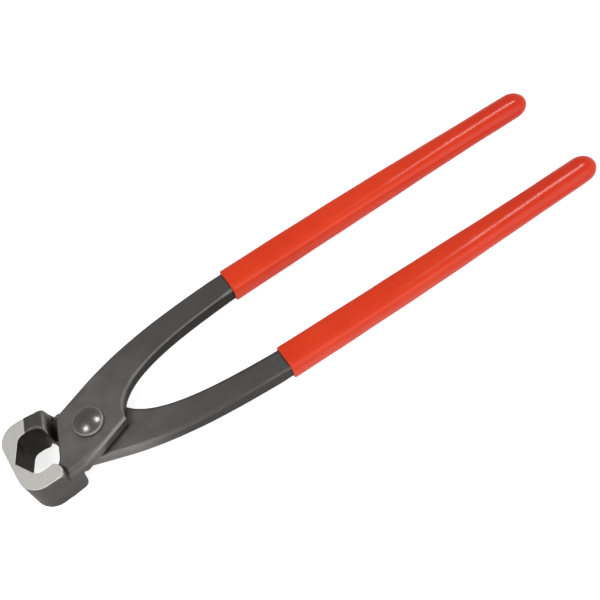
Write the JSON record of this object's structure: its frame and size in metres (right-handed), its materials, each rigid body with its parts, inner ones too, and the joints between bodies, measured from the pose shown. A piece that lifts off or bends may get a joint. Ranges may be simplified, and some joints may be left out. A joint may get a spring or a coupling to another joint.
{
  "type": "rebar tying pliers",
  "caption": "Long-handled end-cutting pliers that grip, twist and snip tying wire: hooked forged jaws, lapped rivet pivot, curved arms and round-ended dipped grips.",
  "frame": {"origin": "centre of the closed tool's plan box, on the plane that the jaws' undersides lie on", "axes": "+X along the tool from the jaws to the handle ends, +Y towards the front lever's handle, +Z along the pivot rivet, up out of the front lap plate"},
  "size_m": [0.28, 0.0624, 0.02],
  "materials": {
    "forged_steel": "drop-forged tool steel with a dark satin phosphate finish, ground bright on the jaws' side faces",
    "rivet_steel": "dark steel with a polished, shallow domed head",
    "red_vinyl": "smooth glossy red dipped vinyl"
  },
  "bodies": {
    "front_half": {"front_lever": "forged_steel", "front_grip": "red_vinyl", "pivot_rivet": "rivet_steel"},
    "rear_half": {"rear_lever": "forged_steel", "rear_grip": "red_vinyl"}
  },
  "joints": [
    {"name": "pivot_hinge", "type": "hinge", "parent": "front_half", "child": "rear_half", "pos_m": [-0.105, 0, 0.01], "axis": [0, 0, -1], "range_deg": [0, 50]}
  ]
}
